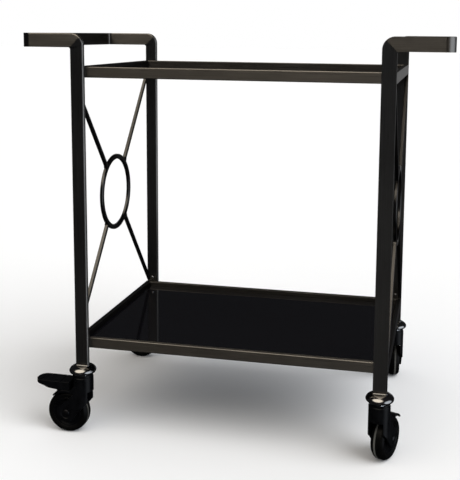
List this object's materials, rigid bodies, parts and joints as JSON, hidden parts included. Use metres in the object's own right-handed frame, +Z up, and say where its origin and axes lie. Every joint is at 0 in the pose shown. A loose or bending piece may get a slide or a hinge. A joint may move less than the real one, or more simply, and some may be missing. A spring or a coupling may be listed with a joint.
{
  "type": "bar cart",
  "caption": "Bar cart with recessed black glass shelves in a frame of flat dark metal bar, ring-and-brace ends, push handles and swivel casters.",
  "frame": {"origin": "on the floor, under the middle of the cart's outline at rest; the legs' middle is 21.8 mm in front of it, because the back right wheel trails out behind the legs", "axes": "+X towards the right handle, +Y towards the back, +Z up"},
  "size_m": [0.777, 0.495, 0.755],
  "materials": {
    "frame_metal": "satin",
    "shelf_glass": "gloss",
    "caster_chrome": "polished",
    "caster_plastic": "satin",
    "caster_tyre": "matte",
    "axle_steel": "satin"
  },
  "bodies": {
    "frame": {"front_left_leg": "frame_metal", "front_right_leg": "frame_metal", "back_left_leg": "frame_metal", "back_right_leg": "frame_metal", "left_handle": "frame_metal", "right_handle": "frame_metal", "upper_front_rail": "frame_metal", "upper_right_rail": "frame_metal", "upper_back_rail": "frame_metal", "upper_left_rail": "frame_metal", "upper_glass": "shelf_glass", "upper_front_ledge": "frame_metal", "upper_back_ledge": "frame_metal", "lower_front_rail": "frame_metal", "lower_right_rail": "frame_metal", "lower_back_rail": "frame_metal", "lower_left_rail": "frame_metal", "lower_glass": "shelf_glass", "lower_front_ledge": "frame_metal", "lower_back_ledge": "frame_metal", "left_ring": "frame_metal", "left_upper_front_brace": "frame_metal", "left_upper_back_brace": "frame_metal", "left_lower_front_brace": "frame_metal", "left_lower_back_brace": "frame_metal", "right_ring": "frame_metal", "right_upper_front_brace": "frame_metal", "right_upper_back_brace": "frame_metal", "right_lower_front_brace": "frame_metal", "right_lower_back_brace": "frame_metal", "front_left_collar": "frame_metal", "front_left_stem": "caster_chrome", "front_right_collar": "frame_metal", "front_right_stem": "caster_chrome", "back_left_collar": "frame_metal", "back_left_stem": "caster_chrome", "back_right_collar": "frame_metal", "back_right_stem": "caster_chrome"},
    "front_left_caster": {"front_left_fork": "caster_plastic", "front_left_axle": "axle_steel"},
    "front_left_wheel": {"front_left_tyre": "caster_tyre", "front_left_hub": "caster_plastic"},
    "front_left_brake": {"front_left_pedal": "caster_plastic"},
    "front_right_caster": {"front_right_fork": "caster_plastic", "front_right_axle": "axle_steel"},
    "front_right_wheel": {"front_right_tyre": "caster_tyre", "front_right_hub": "caster_plastic"},
    "back_left_caster": {"back_left_fork": "caster_plastic", "back_left_axle": "axle_steel"},
    "back_left_wheel": {"back_left_tyre": "caster_tyre", "back_left_hub": "caster_plastic"},
    "back_left_brake": {"back_left_pedal": "caster_plastic"},
    "back_right_caster": {"back_right_fork": "caster_plastic", "back_right_axle": "axle_steel"},
    "back_right_wheel": {"back_right_tyre": "caster_tyre", "back_right_hub": "caster_plastic"}
  },
  "joints": [
    {"name": "front_left_swivel", "type": "hinge", "parent": "frame", "child": "front_left_caster", "pos_m": [-0.28, -0.2223, 0.11], "axis": [0, 0, 1], "continuous": true},
    {"name": "front_left_wheel_spin", "type": "hinge", "parent": "front_left_caster", "child": "front_left_wheel", "pos_m": [-0.3085, -0.2223, 0.04], "axis": [0, -1, 0], "continuous": true},
    {"name": "front_left_brake_pedal", "type": "hinge", "parent": "front_left_caster", "child": "front_left_brake", "pos_m": [-0.31, -0.2223, 0.092], "axis": [0, -1, 0], "range_deg": [0, 8]},
    {"name": "front_right_swivel", "type": "hinge", "parent": "frame", "child": "front_right_caster", "pos_m": [0.28, -0.2223, 0.11], "axis": [0, 0, 1], "continuous": true},
    {"name": "front_right_wheel_spin", "type": "hinge", "parent": "front_right_caster", "child": "front_right_wheel", "pos_m": [0.28951, -0.19543, 0.04], "axis": [-0.9426, 0.3338, 0], "continuous": true},
    {"name": "back_left_swivel", "type": "hinge", "parent": "frame", "child": "back_left_caster", "pos_m": [-0.28, 0.1787, 0.11], "axis": [0, 0, 1], "continuous": true},
    {"name": "back_left_wheel_spin", "type": "hinge", "parent": "back_left_caster", "child": "back_left_wheel", "pos_m": [-0.3085, 0.1787, 0.04], "axis": [0, -1, 0], "continuous": true},
    {"name": "back_left_brake_pedal", "type": "hinge", "parent": "back_left_caster", "child": "back_left_brake", "pos_m": [-0.31, 0.1787, 0.092], "axis": [0, -1, 0], "range_deg": [0, 8]},
    {"name": "back_right_swivel", "type": "hinge", "parent": "frame", "child": "back_right_caster", "pos_m": [0.28, 0.1787, 0.11], "axis": [0, 0, 1], "continuous": true},
    {"name": "back_right_wheel_spin", "type": "hinge", "parent": "back_right_caster", "child": "back_right_wheel", "pos_m": [0.27702, 0.20704, 0.04], "axis": [-0.9945, -0.1045, 0], "continuous": true}
  ]
}
